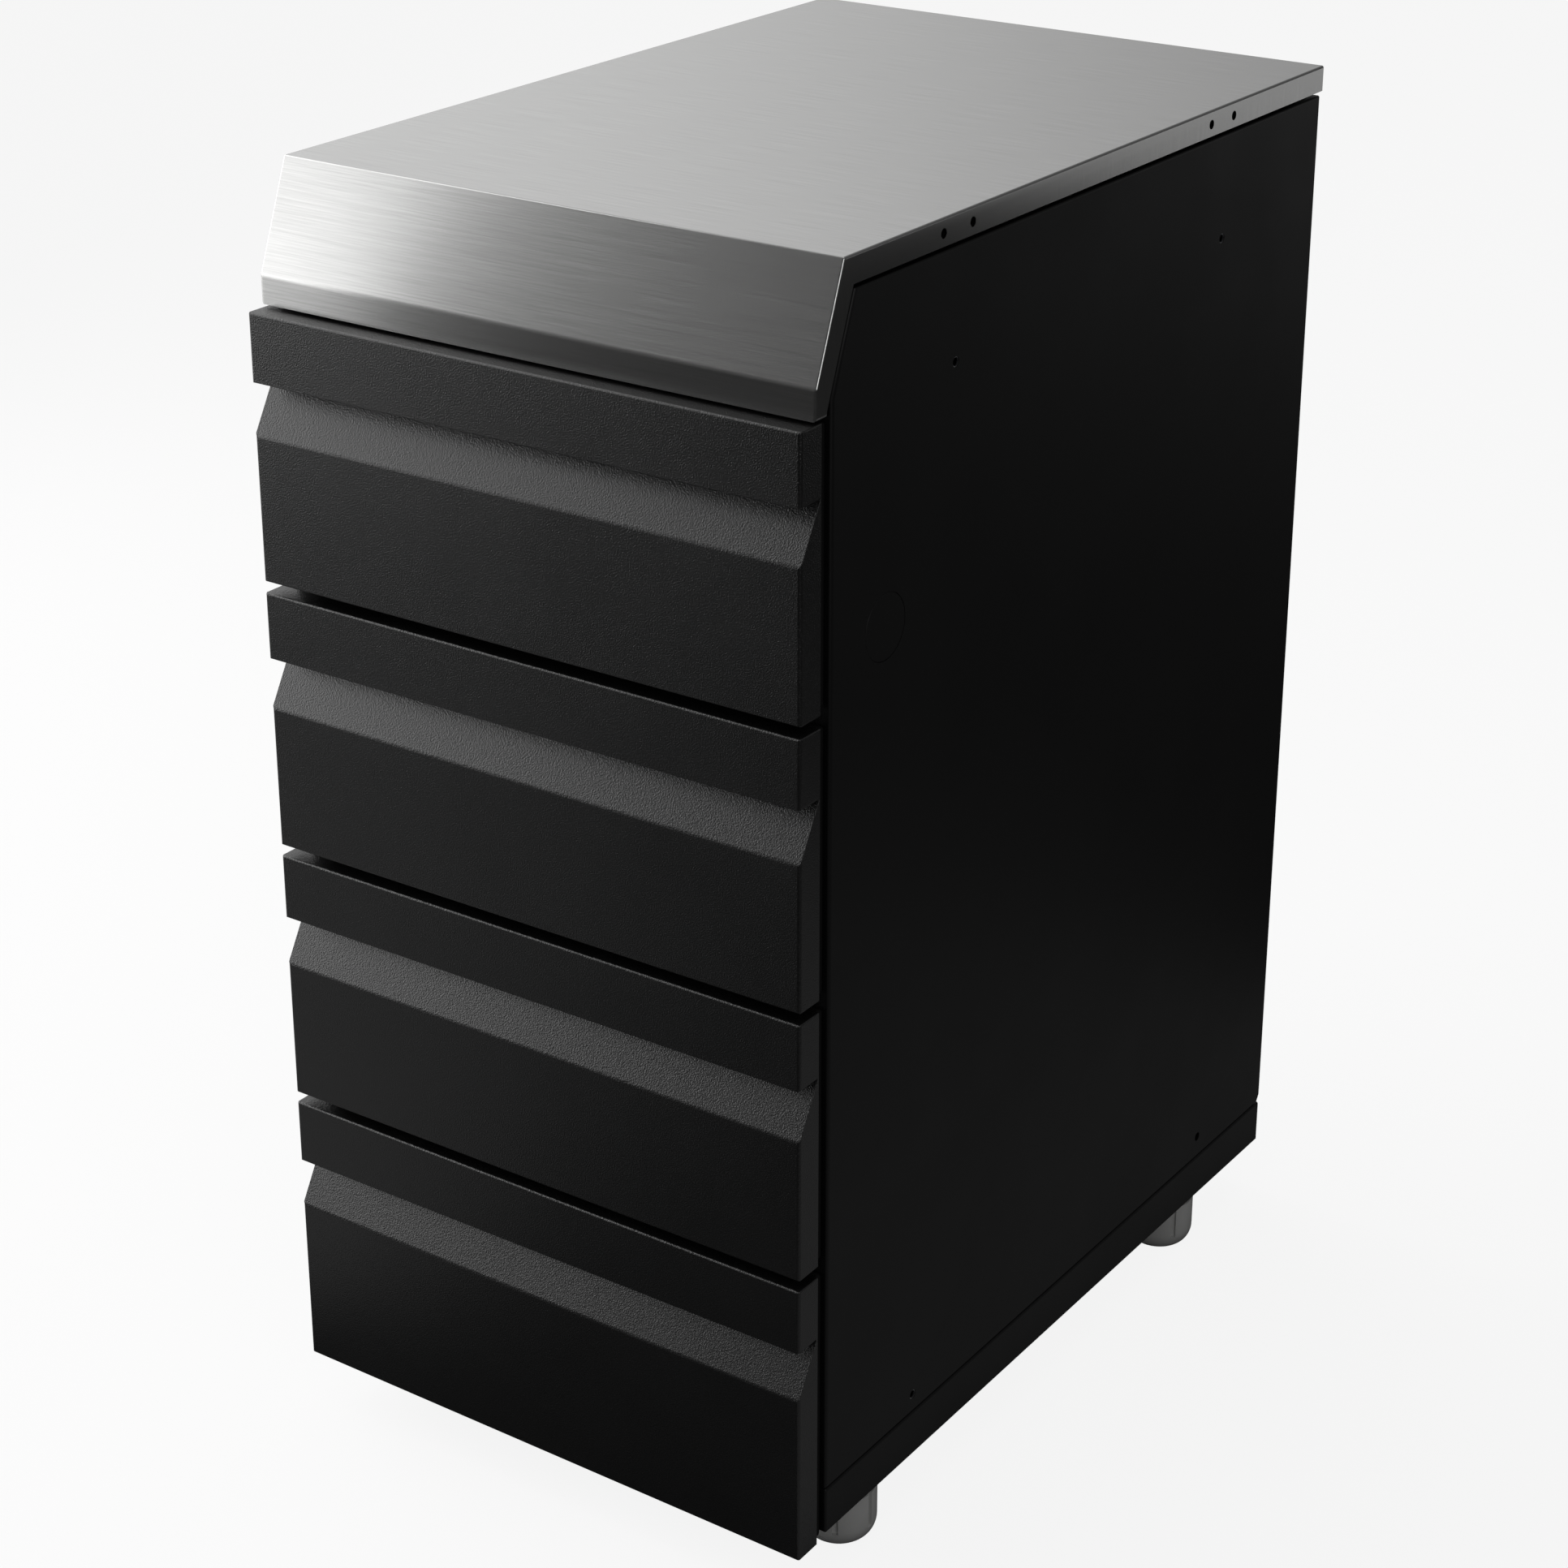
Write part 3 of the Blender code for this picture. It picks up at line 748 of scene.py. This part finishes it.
def floor_panel(name, start, degrees, length, width, radiance):
    """Bright patch of floor to the left of a line that leaves start at an angle left of the front."""
    angle = math.radians(degrees)
    along = Vector((-math.sin(angle), -math.cos(angle), 0.0))
    across = Vector((-math.cos(angle), math.sin(angle), 0.0))
    centre = Vector((*start, FLOOR_LIGHT_HEIGHT)) + along * length / 2 + across * width / 2
    lamp = area_light(name, centre, width, length, radiance)
    lamp.rotation_euler = (math.pi, 0.0, math.pi - angle)


def make_lights():
    """Tall softboxes along the left side, and weak light from above, the floor and the front right."""
    left_side, cabinet, left_width = (-2.07, -0.66), (0.0, -0.105), 3.0
    for name, level, height, radiance in (
        ("left_base_softbox", 0.51, 0.50, 1.7),
        ("left_low_softbox", 1.13, 0.74, 2.3),
        ("left_mid_softbox", 1.90, 0.80, 1.1),
        ("left_high_softbox", 2.75, 0.90, 2.0),
    ):
        softbox(name, (*left_side, level), (*cabinet, level), left_width, height, radiance)
    softbox("top_softbox", (0.4, -0.1, 2.9), (0.4, -0.1, 0.0), 2.0, 2.0, 0.5)
    softbox("right_bounce", (0.66, 0.0, FLOOR_LIGHT_HEIGHT), (0.66, 0.0, 1.0), 0.84, 1.3, 0.10)
    softbox("rear_bounce", (2.2, 5.2, FLOOR_LIGHT_HEIGHT), (2.2, 5.2, 1.0), 4.0, 4.0, 0.46)
    floor_panel("left_bounce", (-0.2, -0.52), 41.0, 3.5, 1.4, 0.16)
    softbox("fill_softbox", (2.1, -1.6, 1.35), (0.2, 0.0, 0.3), 1.2, 0.8, 2.0)


def make_world():
    """Soft studio surroundings: bright behind on the left, dim on the right."""
    bright_side = Vector((-0.9, 0.3, 0.3)).normalized()
    strength, strength_seen = 1.7, 0.925
    stops = ((0.0, 0.08), (0.64, 0.14), (0.70, 0.20), (0.81, 0.30), (0.87, 0.60), (0.93, 1.05), (1.0, 1.30))
    world = bpy.data.worlds.new("studio")
    bpy.context.scene.world = world
    world.use_nodes = True
    nodes, links = world.node_tree.nodes, world.node_tree.links
    background = nodes["Background"]
    background.inputs["Color"].default_value = (1.0, 1.0, 1.0, 1.0)
    coordinates = nodes.new("ShaderNodeTexCoord")
    towards = nodes.new("ShaderNodeVectorMath")
    towards.operation = "DOT_PRODUCT"
    towards.inputs[1].default_value = bright_side
    links.new(coordinates.outputs["Generated"], towards.inputs[0])
    half = nodes.new("ShaderNodeMath")
    half.operation = "MULTIPLY_ADD"
    half.inputs[1].default_value = 0.5
    half.inputs[2].default_value = 0.5
    links.new(towards.outputs["Value"], half.inputs[0])
    ramp = nodes.new("ShaderNodeValToRGB")
    while len(ramp.color_ramp.elements) < len(stops):
        ramp.color_ramp.elements.new(0.5)
    for element, (position, level) in zip(ramp.color_ramp.elements, stops):
        element.position = position
        element.color = (level / 2, level / 2, level / 2, 1.0)
    links.new(half.outputs["Value"], ramp.inputs["Fac"])
    scaled = nodes.new("ShaderNodeMath")
    scaled.operation = "MULTIPLY"
    scaled.inputs[1].default_value = strength
    links.new(ramp.outputs["Color"], scaled.inputs[0])
    path = nodes.new("ShaderNodeLightPath")
    seen = nodes.new("ShaderNodeMix")
    links.new(path.outputs["Is Camera Ray"], seen.inputs["Factor"])
    links.new(scaled.outputs["Value"], seen.inputs["A"])
    seen.inputs["B"].default_value = strength_seen
    links.new(seen.outputs["Result"], background.inputs["Strength"])


def make_camera():
    """Camera at the viewing angle of the reference: seen from the front right and from above."""
    data = bpy.data.cameras.new("camera")
    data.sensor_width = 36.0
    data.lens = 77.0
    data.shift_y = -0.085
    camera = bpy.data.objects.new("camera", data)
    bpy.context.scene.collection.objects.link(camera)
    azimuth, elevation = 0.6038, 0.3875
    flat = math.cos(elevation)
    back = Vector((math.sin(azimuth) * flat, -math.cos(azimuth) * flat, math.sin(elevation)))
    camera.location = (1.2692, -1.8760, 1.4652)
    camera.rotation_mode = "QUATERNION"
    camera.rotation_quaternion = (-back).to_track_quat("-Z", "Y")
    bpy.context.scene.camera = camera


make_worktop()
for side, side_name in LEFT_RIGHT:
    make_side_panel(side, side_name)
    make_inserts(side, side_name)
    make_hole_cover(side, side_name)
    for end in ENDS:
        make_foot(end, side_name)
make_base()
for number in DRAWERS:
    make_drawer_front(number)
make_inner_parts()

make_floor()
make_world()
make_lights()
make_camera()
bpy.context.scene.view_settings.view_transform = "Standard"
